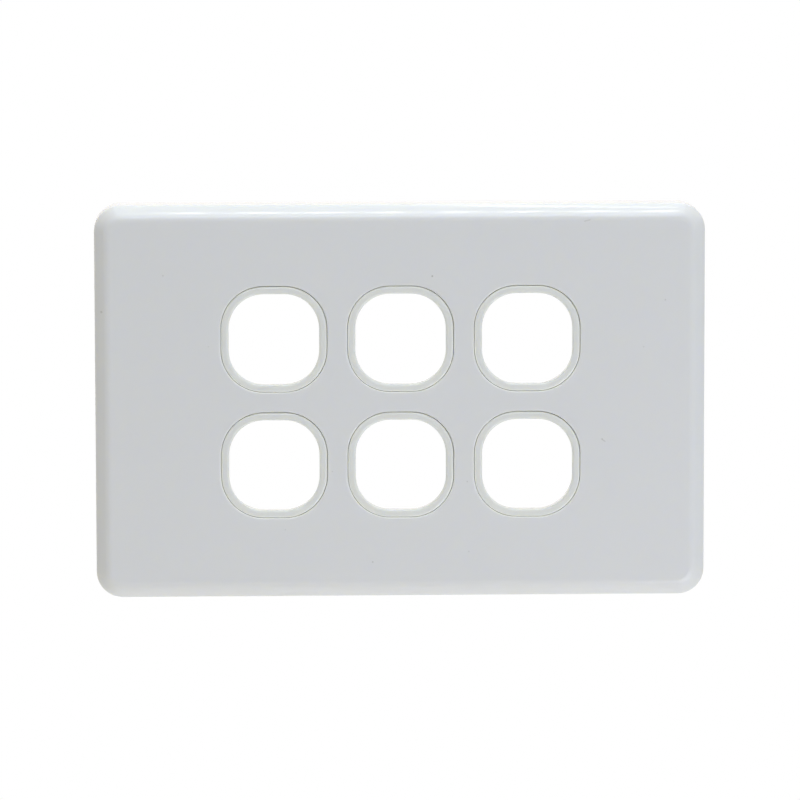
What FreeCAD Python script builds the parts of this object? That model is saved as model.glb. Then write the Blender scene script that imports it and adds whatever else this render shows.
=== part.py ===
import FreeCAD, Part
import math
import os

# Wall plate for six switch mechanisms in three columns and two rows.
# Two mouldings: a cover plate that snaps over a grid plate.
#
# Frame: the plate hangs upright on a wall. X runs along its length, +Z is up,
# the front faces -Y and the wall is the plane Y = 0. The origin is midway
# between the two fixing slots, on the wall.
#
# The shapes are drawn lying on their backs: u = X, v = Z, and w is the height
# off the wall. upright() turns them into the frame above.

V = FreeCAD.Vector

# ---------------------------------------------------------------- dimensions
plate_w = 116.0          # outline at the wall, along X
plate_h = 75.0           # outline at the wall, along Z
plate_d = 8.0            # wall to front face
plate_corner_r = 5.1     # plan radius of the outline's corners
side_draft_deg = 1.0     # the side walls lean in towards the front
rim_gap = 0.2            # the cover's rim stands this far off the wall

# the sloped shoulder between the front face and the side walls: three tangent
# arcs, given by the tilt of the surface at their ends, 0 flat and 90 upright
front_edge_r = 2.1       # from the face to the slope
slope_from_deg = 40.0
slope_r = 8.5            # the slope itself, slightly crowned
slope_to_deg = 57.0
side_edge_r = 0.8        # from the slope to the side wall

face_t = 1.8             # thickness of the cover's front
wall_t = 1.7             # thickness of the cover's side walls
shoulder_t = 1.7         # thickness of the sloped shoulder

pitch = 24.0             # mechanisms, centre to centre, both ways
cols, rows = 3, 2
hole_half = 10.10        # cover's hole, half its width
collar_half = 10.00      # grid's collar, half its outer width
open_half = 8.52         # aperture at the front lip, half its width
open_back_half = 8.90    # aperture where it meets the socket
arc_centre = 2.00        # centre of all these corner arcs, from the hole's axes
hole_edge_r = 0.30       # round on the hole's front edge
collar_edge_r = 0.42     # round on the collar's outer front edge
open_edge_r = 0.50       # round on the aperture's front edge
hole_lead = 0.35         # chamfer behind the cover's hole, guides it on

skin_top = 5.9           # grid: front of the skin under the cover
skin_t = 2.0
rim_clear = 0.4          # grid's wall and shoulder to the cover's inside
grid_wall_t = 1.6
socket_half = 11.2       # square socket behind each aperture, half its width
socket_corner_r = 0.8
web_t = 1.6              # walls round and between the sockets
rib_t = 1.2
rib_low = 0.8            # ribs stop this far short of the wall

catch_w = 7.0            # catches that hold a mechanism in its socket
catch_out = 0.55
catch_h = 1.4

fix_centres = 84.0       # fixing slots, centre to centre
slot_w = 4.2
slot_len = 6.0
well_w = 8.0             # well round each slot, for the screw's head
well_len = 9.8
well_floor = 3.0
boss_t = 1.2             # wall round each well

hook_x = (-30.0, 30.0)   # snap hooks inside the cover's long walls
hook_w = 8.0
hook_out = 0.65
hook_top = 2.5
hook_low = 0.9
hook_flat = 0.5
window_w = 9.0           # windows in the grid's wall, one for each hook
window_top = 2.6

pry_w = 8.0              # notch in the rear of the bottom wall
pry_h = 1.0

pad_r = 2.0              # pads on the grid that the cover's front seats on
pad_gap = 0.05

pin_r = 1.5              # marks of the mould's ejector pins, behind the skin
pin_h = 0.12
pin_at = [(x, z) for x in (-30.0, -6.0, 6.0, 30.0) for z in (-29.0, 29.0)] + \
         [(x, z) for x in (-50.0, 50.0) for z in (-21.5, 21.5)] + \
         [(x, z) for x in (-41.5, 41.5) for z in (-12.5, 12.5)]

tan_d = math.tan(math.radians(side_draft_deg))


# ------------------------------------------------------------------- helpers
def rrect(hu, hv, r, w, cu=0.0, cv=0.0):
    """Wire of a rounded rectangle at height w, with true arcs."""
    s = math.sqrt(0.5)
    e = []
    corners = ((1, 1), (-1, 1), (-1, -1), (1, -1))
    for i, (a, b) in enumerate(corners):
        ou, ov = cu + a * (hu - r), cv + b * (hv - r)
        if i % 2 == 0:
            p0, p1 = V(ou + a * r, ov, w), V(ou, ov + b * r, w)
        else:
            p0, p1 = V(ou, ov + b * r, w), V(ou + a * r, ov, w)
        mid = V(ou + a * r * s, ov + b * r * s, w)
        e.append((p0, mid, p1))
    edges = []
    for i, (p0, mid, p1) in enumerate(e):
        edges.append(Part.Arc(p0, mid, p1).toShape())
        q = e[(i + 1) % 4][0]
        if p1.distanceToPoint(q) > 1e-6:
            edges.append(Part.LineSegment(p1, q).toShape())
    return Part.Wire(edges)


def slab(hu, hv, r, w0, w1, cu=0.0, cv=0.0):
    return Part.Face(rrect(hu, hv, r, w0, cu, cv)).extrude(V(0, 0, w1 - w0))


def taper(a, b):
    """Solid between two rounded rectangles, with straight sides."""
    return Part.makeLoft([a, b], True, True)


def box(u0, u1, v0, v1, w0, w1):
    return Part.makeBox(u1 - u0, v1 - v0, w1 - w0, V(u0, v0, w0))


def stadium(length, width, w0, w1, cu, cv):
    """Solid slot shape that runs along u."""
    r, h = width / 2, (length - width) / 2
    a, b = V(cu - h, cv + r, w0), V(cu + h, cv + r, w0)
    c, d = V(cu + h, cv - r, w0), V(cu - h, cv - r, w0)
    wire = Part.Wire([
        Part.LineSegment(a, b).toShape(),
        Part.Arc(b, V(cu + h + r, cv, w0), c).toShape(),
        Part.LineSegment(c, d).toShape(),
        Part.Arc(d, V(cu - h - r, cv, w0), a).toShape(),
    ])
    return Part.Face(wire).extrude(V(0, 0, w1 - w0))


def wedge_uvw(section, u0, u1):
    """Prism along u of a section given as (v, w) points."""
    pts = [V(u0, v, w) for v, w in section]
    wire = Part.makePolygon(pts + [pts[0]])
    return Part.Face(wire).extrude(V(u1 - u0, 0, 0))


def edges_at(shape, w, keep=lambda e: True):
    """Edges that lie wholly at height w."""
    out = []
    for e in shape.Edges:
        bb = e.BoundBox
        if abs(bb.ZMin - w) < 1e-4 and abs(bb.ZMax - w) < 1e-4 and keep(e):
            out.append(e)
    return out


def one_solid(shape):
    shape = shape.removeSplitter()
    assert len(shape.Solids) == 1, len(shape.Solids)
    s = shape.Solids[0]
    assert s.isValid()
    return s


def upright(shape):
    """Turn u, v, w into X, Z and -Y."""
    s = shape.copy()
    s.rotate(V(0, 0, 0), V(1, 0, 0), 90)
    return s


# Sections of the mouldings are drawn across the edge at a corner: rho is the
# distance from the corner's centre, so the outline is at rho = plate_corner_r.
corner_u = plate_w / 2 - plate_corner_r
corner_v = plate_h / 2 - plate_corner_r


def wall_rho(w, inset=0.0):
    """Where the drafted side wall stands at height w; full size at the rim."""
    return plate_corner_r - inset - (w - rim_gap) * tan_d


def polar(c, r, deg):
    """Point of an arc whose surface is tilted by deg there."""
    a = math.radians(deg)
    return (c[0] + r * math.sin(a), c[1] + r * math.cos(a))


def arc(c, r, d0, d1):
    p = [V(x, 0, w) for x, w in (polar(c, r, d0), polar(c, r, (d0 + d1) / 2), polar(c, r, d1))]
    return Part.Arc(*p).toShape()


def line(a, b):
    return Part.LineSegment(V(a[0], 0, a[1]), V(b[0], 0, b[1])).toShape()


def moulding(edges, w0, w1):
    """Solid whose edge has one section all round the plate's outline."""
    section = Part.Face(Part.Wire(edges))
    parts = [box(-corner_u, corner_u, -corner_v, corner_v, w0, w1)]
    for k, (a, b) in enumerate(((1, 1), (-1, 1), (-1, -1), (1, -1))):
        f = section.copy()
        f.rotate(V(0, 0, 0), V(0, 0, 1), 90 * k)
        corner = f.revolve(V(0, 0, 0), V(0, 0, 1), 90)
        corner.translate(V(a * corner_u, b * corner_v, 0))
        parts.append(corner)
        # the straight side that runs back from this corner
        f.translate(V(a * corner_u, b * corner_v, 0))
        run = (V(0, -2 * corner_v, 0), V(2 * corner_u, 0, 0),
               V(0, 2 * corner_v, 0), V(-2 * corner_u, 0, 0))[k]
        parts.append(f.extrude(run))
    return one_solid(parts[0].multiFuse(parts[1:]))


def block(inset, w0, w1):
    """Moulding with plain drafted walls."""
    a, b = (wall_rho(w0, inset), w0), (wall_rho(w1, inset), w1)
    return moulding([line((0, w0), a), line(a, b), line(b, (0, w1)), line((0, w1), (0, w0))], w0, w1)


# the shoulder's three arcs, laid out from the side wall inwards
depth = (front_edge_r * (1 - math.cos(math.radians(slope_from_deg)))
         + slope_r * (math.cos(math.radians(slope_from_deg)) - math.cos(math.radians(slope_to_deg)))
         + side_edge_r * (math.cos(math.radians(slope_to_deg)) - math.sin(math.radians(side_draft_deg))))
run = (front_edge_r * math.sin(math.radians(slope_from_deg))
       + slope_r * (math.sin(math.radians(slope_to_deg)) - math.sin(math.radians(slope_from_deg)))
       + side_edge_r * (math.cos(math.radians(side_draft_deg)) - math.sin(math.radians(slope_to_deg))))
face_rho = wall_rho(plate_d - depth) - run
c1 = (face_rho, plate_d - front_edge_r)
p1 = polar(c1, front_edge_r, slope_from_deg)
c2 = polar(p1, -slope_r, slope_from_deg)
p2 = polar(c2, slope_r, slope_to_deg)
c3 = polar(p2, -side_edge_r, slope_to_deg)
p3 = polar(c3, side_edge_r, 90 - side_draft_deg)
chord = math.degrees(math.atan2(p1[1] - p2[1], p2[0] - p1[0]))


def slope_line(inwards):
    """Point and slope of the shoulder's chord, moved inwards by that much."""
    mid = ((p1[0] + p2[0]) / 2, (p1[1] + p2[1]) / 2)
    q = polar(mid, -inwards, chord)
    m = math.tan(math.radians(chord))
    return lambda w: q[0] - (w - q[1]) / m, lambda rho: q[1] - (rho - q[0]) * m


def chamfered(inset, inwards, w0, w1):
    """Moulding with drafted walls and a shoulder parallel to the outside."""
    rho_at, w_at = slope_line(inwards)
    w = w_at(wall_rho(5.0, inset))
    a, b, c = (wall_rho(w0, inset), w0), (wall_rho(w, inset), w), (rho_at(w1), w1)
    return moulding([line((0, w0), a), line(a, b), line(b, c),
                     line(c, (0, w1)), line((0, w1), (0, w0))], w0, w1)


centres = [((i - (cols - 1) / 2) * pitch, (j - (rows - 1) / 2) * pitch)
           for j in range(rows) for i in range(cols)]


# --------------------------------------------------------------- cover plate
def make_cover():
    rim = (plate_corner_r, rim_gap)
    body = moulding([
        line((0, rim_gap), rim), line(rim, p3),
        arc(c3, side_edge_r, 90 - side_draft_deg, slope_to_deg),
        arc(c2, slope_r, slope_to_deg, slope_from_deg),
        arc(c1, front_edge_r, slope_from_deg, 0),
        line((face_rho, plate_d), (0, plate_d)), line((0, plate_d), (0, rim_gap)),
    ], rim_gap, plate_d)

    # hollow behind the front, parallel to the outside
    body = body.cut(chamfered(wall_t, shoulder_t, -0.6, plate_d - face_t))

    # six holes, rounded in front and chamfered behind
    back = plate_d - face_t
    holes = []
    for cu, cv in centres:
        r = hole_half - arc_centre
        holes.append(slab(hole_half, hole_half, r, back - 1, plate_d + 1, cu, cv))
        holes.append(taper(
            rrect(hole_half + hole_lead, hole_half + hole_lead, r + hole_lead, back, cu, cv),
            rrect(hole_half, hole_half, r, back + hole_lead, cu, cv)))
    body = body.cut(Part.makeCompound(holes))

    def round_hole(e):
        c = e.BoundBox.Center
        return any(max(abs(c.x - cu), abs(c.y - cv)) < hole_half + 0.5 for cu, cv in centres)
    body = body.makeFillet(hole_edge_r, edges_at(body, plate_d, round_hole))

    # snap hooks: a flat catching face in front, a long lead-in behind
    for side in (1, -1):
        for u in hook_x:
            wall_in = plate_h / 2 - wall_t - (hook_top - rim_gap) * tan_d
            tip = wall_in - hook_out
            sec = [(wall_in + 0.9, hook_low), (wall_in + 0.25, hook_low),
                   (tip, hook_top - hook_flat), (tip, hook_top), (wall_in + 0.9, hook_top)]
            sec = [(side * v, w) for v, w in sec]
            body = body.fuse(wedge_uvw(sec, u - hook_w / 2, u + hook_w / 2))

    # pry notch in the rear of the bottom wall
    body = body.cut(box(-pry_w / 2, pry_w / 2, -plate_h / 2 - 1,
                        -plate_h / 2 + wall_t + 0.6, -1, rim_gap + pry_h))
    return one_solid(body)


# ---------------------------------------------------------------- grid plate
def make_grid():
    inset = wall_t + rim_clear
    body = chamfered(inset, shoulder_t + rim_clear, 0.0, skin_top)
    skin_low = skin_top - skin_t

    # one big hollow behind the skin, which the walls and ribs then fill
    body = body.cut(block(inset + grid_wall_t, -0.6, skin_low))
    inner_u = plate_w / 2 - inset - 0.8
    inner_v = plate_h / 2 - inset - 0.8
    half_u = (cols - 1) / 2 * pitch + socket_half
    half_v = (rows - 1) / 2 * pitch + socket_half
    top = skin_low + 0.3

    add = [slab(half_u + web_t, half_v + web_t, 1.6, 0.0, top)]
    # ribs above and below the block
    for k in range(-3, 4):
        u = 12.0 * k
        for side in (1, -1):
            v0, v1 = sorted((side * half_v, side * inner_v))
            add.append(box(u - rib_t / 2, u + rib_t / 2, v0, v1, rib_low, top))
    # ribs to the left and right of it, and round the wells
    for side in (1, -1):
        u0, u1 = sorted((side * half_u, side * inner_u))
        for v in (-26.0, -17.0, -8.0, 8.0, 17.0, 26.0):
            add.append(box(u0, u1, v - rib_t / 2, v + rib_t / 2, rib_low, top))
        u = side * 46.0
        for v0, v1 in ((8.0, inner_v), (-inner_v, -8.0)):
            add.append(box(u - rib_t / 2, u + rib_t / 2, v0, v1, rib_low, top))
        add.append(stadium(well_len + 2 * boss_t, well_w + 2 * boss_t, 0.0, top,
                           side * fix_centres / 2, 0.0))
        # short ribs that carry the boss out to the side wall
        u0, u1 = sorted((side * (fix_centres / 2 + well_len / 2), side * inner_u))
        add.append(box(u0, u1, -rib_t / 2, rib_t / 2, rib_low, top))
    keep = block(inset + 0.2, 0.0, skin_low + 0.4)
    add = [a.common(keep) for a in add]
    body = body.multiFuse(add)

    # collars, flush with the cover's front
    collars = []
    for cu, cv in centres:
        c = slab(collar_half, collar_half, collar_half - arc_centre,
                 skin_top - 0.5, plate_d, cu, cv)
        c = c.makeFillet(collar_edge_r, edges_at(c, plate_d))
        collars.append(c)
    body = body.multiFuse(collars)

    # sockets, apertures, and the slits that form the catches
    cuts = []
    for cu, cv in centres:
        cuts.append(slab(socket_half, socket_half, socket_corner_r, -1.0, skin_low, cu, cv))
        a = taper(rrect(open_back_half, open_back_half, open_back_half - arc_centre,
                        skin_low - 0.1, cu, cv),
                  rrect(open_half, open_half, open_half - arc_centre, plate_d, cu, cv))
        cuts.append(a)
        for side in (1, -1):
            v0, v1 = sorted((cv + side * (socket_half - catch_out), cv + side * socket_half))
            cuts.append(box(cu - catch_w / 2 - 0.1, cu + catch_w / 2 + 0.1, v0, v1,
                            skin_low - 0.1, skin_top + 1))
    body = body.cut(Part.makeCompound(cuts))

    # round the aperture's front edge
    def lip(e):
        c = e.BoundBox
        for cu, cv in centres:
            du = max(abs(c.XMin - cu), abs(c.XMax - cu))
            dv = max(abs(c.YMin - cv), abs(c.YMax - cv))
            if du < open_half + 0.01 and dv < open_half + 0.01:
                return True
        return False
    body = body.makeFillet(open_edge_r, edges_at(body, plate_d, lip))

    # catches, a flat face towards the front and a lead-in behind
    for cu, cv in centres:
        for side in (1, -1):
            wall = socket_half
            sec = [(wall + 0.4, 0.0), (wall - 0.05, 0.0), (wall - catch_out, catch_h - 0.4),
                   (wall - catch_out, catch_h), (wall + 0.4, catch_h)]
            sec = [(cv + side * v, w) for v, w in sec]
            body = body.fuse(wedge_uvw(sec, cu - catch_w / 2, cu + catch_w / 2))

    # wells and slots
    for side in (1, -1):
        u = side * fix_centres / 2
        body = body.cut(stadium(well_len, well_w, well_floor, skin_top + 1, u, 0.0))
        body = body.cut(stadium(slot_len, slot_w, -1.0, well_floor + 1, u, 0.0))

    # windows for the cover's hooks, open at the back
    for side in (1, -1):
        for u in hook_x:
            v0, v1 = sorted((side * (plate_h / 2 - inset - grid_wall_t - 0.6),
                             side * (plate_h / 2)))
            body = body.cut(box(u - window_w / 2, u + window_w / 2, v0, v1, -1.0, window_top))

    # seating pads under the cover's front
    for u in (-47.0, 47.0):
        for v in (-27.0, 27.0):
            body = body.fuse(Part.makeCylinder(
                pad_r, plate_d - face_t - pad_gap - skin_top + 0.3, V(u, v, skin_top - 0.3)))
    # slightly raised round marks of the ejector pins
    for u, v in pin_at:
        body = body.fuse(Part.makeCylinder(
            pin_r, pin_h + 0.3, V(u, v, skin_low - pin_h)))
    return one_solid(body)


os.makedirs("parts", exist_ok=True)
cover = upright(make_cover())
grid = upright(make_grid())
for name, shape in (("cover_plate", cover), ("grid_plate", grid)):
    shape.exportStep("parts/" + name + ".step")
    b = shape.BoundBox
    print(name, "volume cm3", round(shape.Volume / 1000, 3),
          "X", round(b.XMin, 3), round(b.XMax, 3),
          "Y", round(b.YMin, 3), round(b.YMax, 3),
          "Z", round(b.ZMin, 3), round(b.ZMax, 3))
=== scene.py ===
import math

import bpy
from mathutils import Matrix, Vector

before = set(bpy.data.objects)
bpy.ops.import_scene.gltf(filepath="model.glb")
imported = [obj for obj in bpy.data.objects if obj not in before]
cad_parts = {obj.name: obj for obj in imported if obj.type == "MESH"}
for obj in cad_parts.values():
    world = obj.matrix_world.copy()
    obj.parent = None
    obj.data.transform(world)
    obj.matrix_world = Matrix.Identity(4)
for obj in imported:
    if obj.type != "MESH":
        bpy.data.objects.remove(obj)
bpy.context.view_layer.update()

scene = bpy.context.scene

# ------------------------------------------------------------------ camera
# Nearly square on to the plate, a little above it and a touch to its left.
AZIMUTH, ELEVATION, ROLL = -1.85, 6.3, -0.11    # degrees
DISTANCE = 1.00                                 # metres from the front face
SCALE = 5.2745                                  # pixels per mm at the front face
CENTRE_PX = (400.81, 401.92)                    # where the front face's centre lands

cam_data = bpy.data.cameras.new("camera")
cam = bpy.data.objects.new("camera", cam_data)
scene.collection.objects.link(cam)
scene.camera = cam
a, e = math.radians(AZIMUTH), math.radians(ELEVATION)
back = Vector((math.sin(a) * math.cos(e), -math.cos(a) * math.cos(e), math.sin(e)))
aim = Vector((0.0, -0.008, 0.0))
cam.location = aim + back * DISTANCE
rot = (-back).to_track_quat("-Z", "Y").to_matrix()
rot = rot @ Matrix.Rotation(math.radians(ROLL), 3, "Z")
cam.rotation_mode = "QUATERNION"
cam.rotation_quaternion = rot.to_quaternion()
cam_data.sensor_width = 36.0
cam_data.lens = SCALE * DISTANCE * 1000 / 800 * 36.0
cam_data.shift_x = -(CENTRE_PX[0] - 400.0) / 800
cam_data.shift_y = (CENTRE_PX[1] - 400.0) / 800
cam_data.clip_start, cam_data.clip_end = 0.05, 50.0


# ------------------------------------------------------------- node helpers
def new_material(name):
    m = bpy.data.materials.new(name)
    m.use_nodes = True
    m.node_tree.nodes.clear()
    return m, m.node_tree


def node(tree, kind, **values):
    n = tree.nodes.new(kind)
    for key, v in values.items():
        setattr(n, key, v)
    return n


def set_in(n, name, value):
    n.inputs[name].default_value = value


def math_node(t, op, *args, clamp=False):
    """A Math node fed with sockets or numbers; returns its output."""
    n = node(t, "ShaderNodeMath", operation=op)
    n.use_clamp = clamp
    for i, x in enumerate(args):
        if isinstance(x, (int, float)):
            n.inputs[i].default_value = x
        else:
            t.links.new(x, n.inputs[i])
    return n.outputs[0]


def blend(t, factor, first, second, name="blend"):
    """Colour mix; first and second are colours or sockets."""
    n = node(t, "ShaderNodeMix", data_type="RGBA")
    n.name = name
    t.links.new(factor, n.inputs["Factor"])
    for key, x in (("A", first), ("B", second)):
        if isinstance(x, tuple):
            n.inputs[key].default_value = (*x, 1)
        else:
            t.links.new(x, n.inputs[key])
    return n.outputs["Result"]


# ---------------------------------------------------------------- materials
# painted light: a paler, slightly yellow base colour deep in the gap round each collar
GAP_PAINTED_LIGHT = (0.95, 0.95, 0.88)
# painted light: strength of a faint glow emitted in the gap round each collar
GAP_PAINTED_GLOW = 0.10

# Small specks of dirt on the cover: X, Z and radius in mm, and how dark.
SPECKS = [
    (6.0, 23.9, 0.16, 0.55), (38.25, -7.3, 0.13, 0.42), (-5.4, -30.6, 0.15, 0.35),
    (12.6, -15.3, 0.13, 0.28), (50.2, 19.2, 0.15, 0.28), (-13.0, -13.2, 0.12, 0.22),
    (-44.9, 24.2, 0.16, 0.22), (12.9, -28.7, 0.13, 0.22), (-36.4, 10.7, 0.12, 0.18),
    (46.1, 10.3, 0.15, 0.18), (-56.6, 17.3, 0.20, 0.30), (-22.0, -24.3, 0.13, 0.20),
]
# Short scratches: X, Z of both ends and half width in mm, and how dark.
SCRATCHES = [
    (38.2, -7.35, 38.8, -7.75, 0.09, 0.30), (34.85, 34.2, 35.9, 34.45, 0.10, 0.24),
]


def moulded_plastic(name, colour, rough, seed, specks=()):
    """Glossy white moulding: the tool's polish with a faint unevenness, specks of dirt, and painted light in the gap
    round each collar.
    """
    m, t = new_material(name)
    out = node(t, "ShaderNodeOutputMaterial")
    bsdf = node(t, "ShaderNodeBsdfPrincipled")
    t.links.new(bsdf.outputs["BSDF"], out.inputs["Surface"])
    coord = node(t, "ShaderNodeTexCoord").outputs["Object"]
    shift = node(t, "ShaderNodeMapping")
    set_in(shift, "Location", (seed * 0.37, seed * 0.11, seed * 0.23))
    t.links.new(coord, shift.inputs["Vector"])

    def noise(scale, detail=2.0, rough_=0.5, stretch=(1, 1, 1)):
        v = shift.outputs["Vector"]
        if stretch != (1, 1, 1):
            s = node(t, "ShaderNodeMapping")
            set_in(s, "Scale", stretch)
            t.links.new(v, s.inputs["Vector"])
            v = s.outputs["Vector"]
        n = node(t, "ShaderNodeTexNoise")
        set_in(n, "Scale", scale)
        set_in(n, "Detail", detail)
        set_in(n, "Roughness", rough_)
        t.links.new(v, n.inputs["Vector"])
        return n.outputs["Fac"]

    # colour: slow, very faint flow marks of the melt
    ramp = node(t, "ShaderNodeValToRGB")
    for i, (pos, k) in enumerate(((0.25, 0.994), (0.75, 1.004))):
        ramp.color_ramp.elements[i].position = pos
        ramp.color_ramp.elements[i].color = tuple(min(1.0, c * k) for c in colour) + (1,)
    t.links.new(noise(16.0, 1.0), ramp.inputs["Fac"])
    base = ramp.outputs["Color"]

    # dust: rare, faint cells of a fine Voronoi
    cells = node(t, "ShaderNodeTexVoronoi")
    set_in(cells, "Scale", 330.0)
    t.links.new(shift.outputs["Vector"], cells.inputs["Vector"])
    sep = node(t, "ShaderNodeSeparateColor")
    t.links.new(cells.outputs["Color"], sep.inputs["Color"])
    near = math_node(t, "LESS_THAN", cells.outputs["Distance"], 0.05)
    rare = math_node(t, "GREATER_THAN", sep.outputs["Red"], 0.985)
    dust = math_node(t, "MULTIPLY", math_node(t, "MULTIPLY", near, rare), 0.16)
    base = blend(t, dust, base, (0.42, 0.41, 0.38))

    # painted light: the surfaces deep in the narrow gap round each collar get a paler, slightly yellow base colour,
    # standing in for light thrown to and fro between the two mouldings
    xyz = node(t, "ShaderNodeSeparateXYZ")
    t.links.new(coord, xyz.inputs["Vector"])
    far, cells_xz = [], []
    for c, hi, lo, mid in (("X", 0.012, -0.012, 0.0), ("Z", 0.024, 0.0, 0.012)):
        cell = math_node(t, "SUBTRACT", math_node(t, "WRAP", xyz.outputs[c], hi, lo), mid)
        cells_xz.append(cell)
        far.append(math_node(t, "MAXIMUM", math_node(t, "SUBTRACT", math_node(t, "ABSOLUTE", cell), 0.002), 0.0))
    ring = math_node(t, "SQRT", math_node(t, "ADD", math_node(t, "POWER", far[0], 2.0),
                                          math_node(t, "POWER", far[1], 2.0)))
    gap = math_node(t, "GREATER_THAN", ring, 0.0074)
    for value, limit in ((math_node(t, "ABSOLUTE", xyz.outputs["X"]), 0.036),
                         (math_node(t, "ABSOLUTE", xyz.outputs["Z"]), 0.024),
                         (xyz.outputs["Y"], -0.0066)):
        gap = math_node(t, "MULTIPLY", gap, math_node(t, "LESS_THAN", value, limit))
    depth = node(t, "ShaderNodeMapRange", interpolation_type="SMOOTHSTEP")
    set_in(depth, "From Min", -0.00800)
    set_in(depth, "From Max", -0.00780)
    t.links.new(xyz.outputs["Y"], depth.inputs["Value"])
    gap = math_node(t, "MULTIPLY", gap, depth.outputs["Result"])
    base = blend(t, gap, base, GAP_PAINTED_LIGHT, "painted_gap_light")
    # painted light: a faint glow emitted in the gap, strongest on the side away from the lamps, standing in for light
    # shining through the thin lips
    side = math_node(t, "ADD", math_node(t, "MULTIPLY", cells_xz[0], -0.2 / 0.010),
                     math_node(t, "MULTIPLY_ADD", cells_xz[1], -0.5 / 0.010, 0.5))
    painted_glow = math_node(t, "MULTIPLY", math_node(t, "MAXIMUM", side, 0.0), gap)
    painted_glow = math_node(t, "MULTIPLY", painted_glow, math_node(t, "LESS_THAN", xyz.outputs["Y"], -0.0073))
    glow_strength = node(t, "ShaderNodeMath", operation="MULTIPLY", name="painted_glow")
    glow_strength.inputs[1].default_value = GAP_PAINTED_GLOW
    t.links.new(painted_glow, glow_strength.inputs[0])
    t.links.new(glow_strength.outputs[0], bsdf.inputs["Emission Strength"])
    set_in(bsdf, "Emission Color", (0.96, 1.0, 1.05, 1))

    if specks:
        flat = node(t, "ShaderNodeCombineXYZ")
        t.links.new(xyz.outputs["X"], flat.inputs["X"])
        t.links.new(xyz.outputs["Z"], flat.inputs["Z"])
        total = None
        marks = [(x, z, x, z, r, dark) for x, z, r, dark in specks] + SCRATCHES
        for x, z, x2, z2, r, dark in marks:
            start = Vector((x / 1000, 0.0, z / 1000))
            along = Vector((x2 / 1000, 0.0, z2 / 1000)) - start
            off = node(t, "ShaderNodeVectorMath", operation="DISTANCE")
            if along.length:
                rel = node(t, "ShaderNodeVectorMath", operation="SUBTRACT")
                t.links.new(flat.outputs["Vector"], rel.inputs[0])
                rel.inputs[1].default_value = start
                dot = node(t, "ShaderNodeVectorMath", operation="DOT_PRODUCT")
                t.links.new(rel.outputs["Vector"], dot.inputs[0])
                dot.inputs[1].default_value = along / along.length_squared
                foot = node(t, "ShaderNodeVectorMath", operation="SCALE")
                foot.inputs[0].default_value = along
                t.links.new(math_node(t, "ADD", dot.outputs["Value"], 0.0, clamp=True), foot.inputs["Scale"])
                t.links.new(rel.outputs["Vector"], off.inputs[0])
                t.links.new(foot.outputs["Vector"], off.inputs[1])
            else:
                t.links.new(flat.outputs["Vector"], off.inputs[0])
                off.inputs[1].default_value = start
            soft = node(t, "ShaderNodeMapRange", interpolation_type="SMOOTHSTEP")
            set_in(soft, "From Min", r / 1000 * 0.5)
            set_in(soft, "From Max", r / 1000 * 1.5)
            set_in(soft, "To Min", dark)
            set_in(soft, "To Max", 0.0)
            t.links.new(off.outputs["Value"], soft.inputs["Value"])
            total = soft.outputs["Result"] if total is None else math_node(t, "MAXIMUM", total, soft.outputs["Result"])
        front = math_node(t, "LESS_THAN", xyz.outputs["Y"], -0.003)
        base = blend(t, math_node(t, "MULTIPLY", total, front), base, (0.30, 0.29, 0.25))
    t.links.new(base, bsdf.inputs["Base Color"])

    # roughness: a polished tool, with a faint cloudiness and fine rub marks
    rr = node(t, "ShaderNodeMapRange")
    set_in(rr, "From Min", 0.25)
    set_in(rr, "From Max", 0.75)
    set_in(rr, "To Min", rough - 0.02)
    set_in(rr, "To Max", rough + 0.02)
    t.links.new(noise(70.0, 5.0, 0.62), rr.inputs["Value"])
    t.links.new(rr.outputs["Result"], bsdf.inputs["Roughness"])

    # bump: long, shallow sink of the moulding, then a fine orange peel
    b1 = node(t, "ShaderNodeBump")
    set_in(b1, "Strength", 1.0)
    set_in(b1, "Distance", 0.000004)
    t.links.new(noise(45.0, 1.0), b1.inputs["Height"])
    b2 = node(t, "ShaderNodeBump")
    set_in(b2, "Strength", 1.0)
    set_in(b2, "Distance", 0.0000003)
    t.links.new(noise(1100.0, 2.0), b2.inputs["Height"])
    t.links.new(b1.outputs["Normal"], b2.inputs["Normal"])
    t.links.new(b2.outputs["Normal"], bsdf.inputs["Normal"])

    set_in(bsdf, "IOR", 1.50)
    set_in(bsdf, "Subsurface Weight", 0.7)
    set_in(bsdf, "Subsurface Radius", (1.0, 0.95, 0.75))
    set_in(bsdf, "Subsurface Scale", 0.0009)
    return m


cover_mat = moulded_plastic("cover_white", (0.80, 0.805, 0.808), 0.065, 1.0, SPECKS)
grid_mat = moulded_plastic("grid_white", (0.80, 0.81, 0.79), 0.14, 4.0)
for n, m in (("cover_plate", cover_mat), ("grid_plate", grid_mat)):
    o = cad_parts[n]
    o.data.materials.clear()
    o.data.materials.append(m)

# ------------------------------------------------------------------- stage
floor_mat, t = new_material("floor_pale")
out = node(t, "ShaderNodeOutputMaterial")
fb = node(t, "ShaderNodeBsdfPrincipled")
set_in(fb, "Base Color", (0.84, 0.86, 0.87, 1))
set_in(fb, "Roughness", 0.8)
t.links.new(fb.outputs["BSDF"], out.inputs["Surface"])
bpy.ops.mesh.primitive_circle_add(vertices=128, radius=1.8, fill_type="NGON", location=(0, 0, -0.45))
floor = bpy.context.object
floor.name = "floor"
floor.data.materials.append(floor_mat)

# ------------------------------------------------------------------- light
# The studio all round the plate, as broad soft lobes: which way each faces,
# how tight it is, and its colour.
LOBES = [
    ((0, 0, 1), 1.0, (0.862, 0.762, 0.585)),
    ((0, 1, 0), 2.0, (0.741, 0.690, 0.640)),
    ((1, 0.1, 0), 2.0, (0.130, 0.180, 0.215)),
    ((-1, 0.1, -0.4), 3.0, (0.100, 0.115, 0.130)),
]
AMBIENT = (0.187, 0.206, 0.236)


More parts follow.
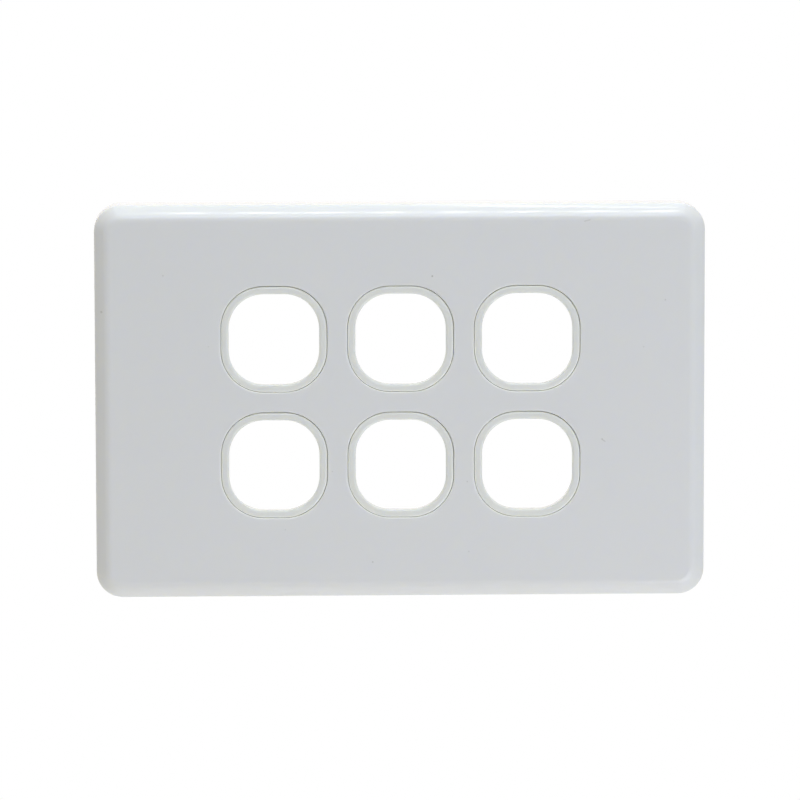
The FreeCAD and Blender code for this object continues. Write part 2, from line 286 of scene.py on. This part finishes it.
def build_world(ambient, lobes):
    world = bpy.data.worlds.new("studio")
    scene.world = world
    world.use_nodes = True
    t = world.node_tree
    t.nodes.clear()
    out = node(t, "ShaderNodeOutputWorld")
    coord = node(t, "ShaderNodeTexCoord").outputs["Generated"]
    total = None
    for axis, power, colour in lobes:
        dot = node(t, "ShaderNodeVectorMath", operation="DOT_PRODUCT")
        t.links.new(coord, dot.inputs[0])
        dot.inputs[1].default_value = Vector(axis).normalized()
        k = math_node(t, "POWER", math_node(t, "MAXIMUM", dot.outputs["Value"], 0.0), power)
        part = node(t, "ShaderNodeVectorMath", operation="SCALE")
        part.inputs[0].default_value = colour
        t.links.new(k, part.inputs["Scale"])
        add = node(t, "ShaderNodeVectorMath", operation="ADD")
        t.links.new(part.outputs["Vector"], add.inputs[0])
        if total is None:
            add.inputs[1].default_value = ambient
        else:
            t.links.new(total, add.inputs[1])
        total = add.outputs["Vector"]
    lit = node(t, "ShaderNodeBackground")
    if total is None:
        set_in(lit, "Color", (*ambient, 1))
    else:
        t.links.new(total, lit.inputs["Color"])
    seen = node(t, "ShaderNodeBackground")
    set_in(seen, "Color", (1, 1, 1, 1))
    mix = node(t, "ShaderNodeMixShader")
    t.links.new(node(t, "ShaderNodeLightPath").outputs["Is Camera Ray"], mix.inputs["Fac"])
    t.links.new(lit.outputs["Background"], mix.inputs[1])
    t.links.new(seen.outputs["Background"], mix.inputs[2])
    t.links.new(mix.outputs["Shader"], out.inputs["Surface"])


build_world(AMBIENT, LOBES)


def area(name, where, at, size, power, colour=(1, 1, 1)):
    d = bpy.data.lights.new(name, "AREA")
    d.shape = "RECTANGLE"
    d.size, d.size_y = size
    d.energy = power
    d.color = colour
    o = bpy.data.objects.new(name, d)
    scene.collection.objects.link(o)
    o.location = where
    o.rotation_mode = "QUATERNION"
    o.rotation_quaternion = (Vector(at) - Vector(where)).to_track_quat("-Z", "Y")
    return o


# softboxes: one overhead in front of the plate, a large one right above it, and
# a small one low on the right
area("softbox_front", (0.05, -0.33, 0.49), (0, 0, 0), (0.29, 0.24), 0.56, (0.658, 0.774, 1.0))
area("softbox_top", (0.02, -0.02, 0.60), (0.02, 0, 0), (0.5, 0.5), 1.15, (0.609, 0.808, 1.0))
area("softbox_low_right", (0.20, -0.30, -0.24), (0, 0, 0), (0.25, 0.25), 0.470, (0.783, 0.832, 1.0))

EDGE = Vector((0.0, -0.006, 0.0365))     # the plate's upper shoulder


def overhead(deg, height):
    """Point that far from the upper shoulder; deg is turned up from straight in front."""
    r = math.radians(deg)
    return EDGE + Vector((0.0, -math.cos(r), math.sin(r))) * height


# a row of eight small lamps overhead, in a faintly lit bar
LAMP_X, LAMP_STEP, LAMP_COUNT = 0.0159, 0.0165, 8
LAMP_DEG = 84.5
for i in range(LAMP_COUNT):
    p = overhead(LAMP_DEG, 0.30)
    p.x = LAMP_X + (i - (LAMP_COUNT - 1) / 2) * LAMP_STEP
    area("lamp_%d" % (i + 1), p, (p.x, EDGE.y, EDGE.z), (0.0055, 0.0035), 0.0025)
p = overhead(LAMP_DEG, 0.30)
p.x = 0.0125
area("lamp_bar", p, (p.x, EDGE.y, EDGE.z), (0.145, 0.0035), 0.012)

# behind them a long tube, slanting away to the left, brighter in its right part
NEAR, FAR = overhead(95.3, 0.60), overhead(113.5, 0.60)
NEAR.x, FAR.x = 0.104, -0.061


def tube(name, k0, k1, power):
    """Part of the tube, from k0 to k1 of the way from its near end."""
    p0, p1 = NEAR.lerp(FAR, k0), NEAR.lerp(FAR, k1)
    mid = (p0 + p1) / 2
    o = area(name, mid, (mid.x, EDGE.y, EDGE.z), ((p1 - p0).length, 0.012), power)
    along = (p1 - p0).normalized()
    z = mid - Vector((mid.x, EDGE.y, EDGE.z))
    z = (z - along * z.dot(along)).normalized()
    o.rotation_quaternion = Matrix((along, z.cross(along), z)).transposed().to_quaternion()


tube("tube_right", 0.0, 0.40, 0.038)
tube("tube_left", 0.40, 1.0, 0.013)

# the lamps are tiny next to the softboxes, so every light is picked equally often
scene.cycles.use_light_tree = False

# ------------------------------------------------------------------ output
scene.view_settings.view_transform = "Standard"
scene.view_settings.look = "None"
scene.view_settings.exposure = 0.0
scene.view_settings.gamma = 1.0
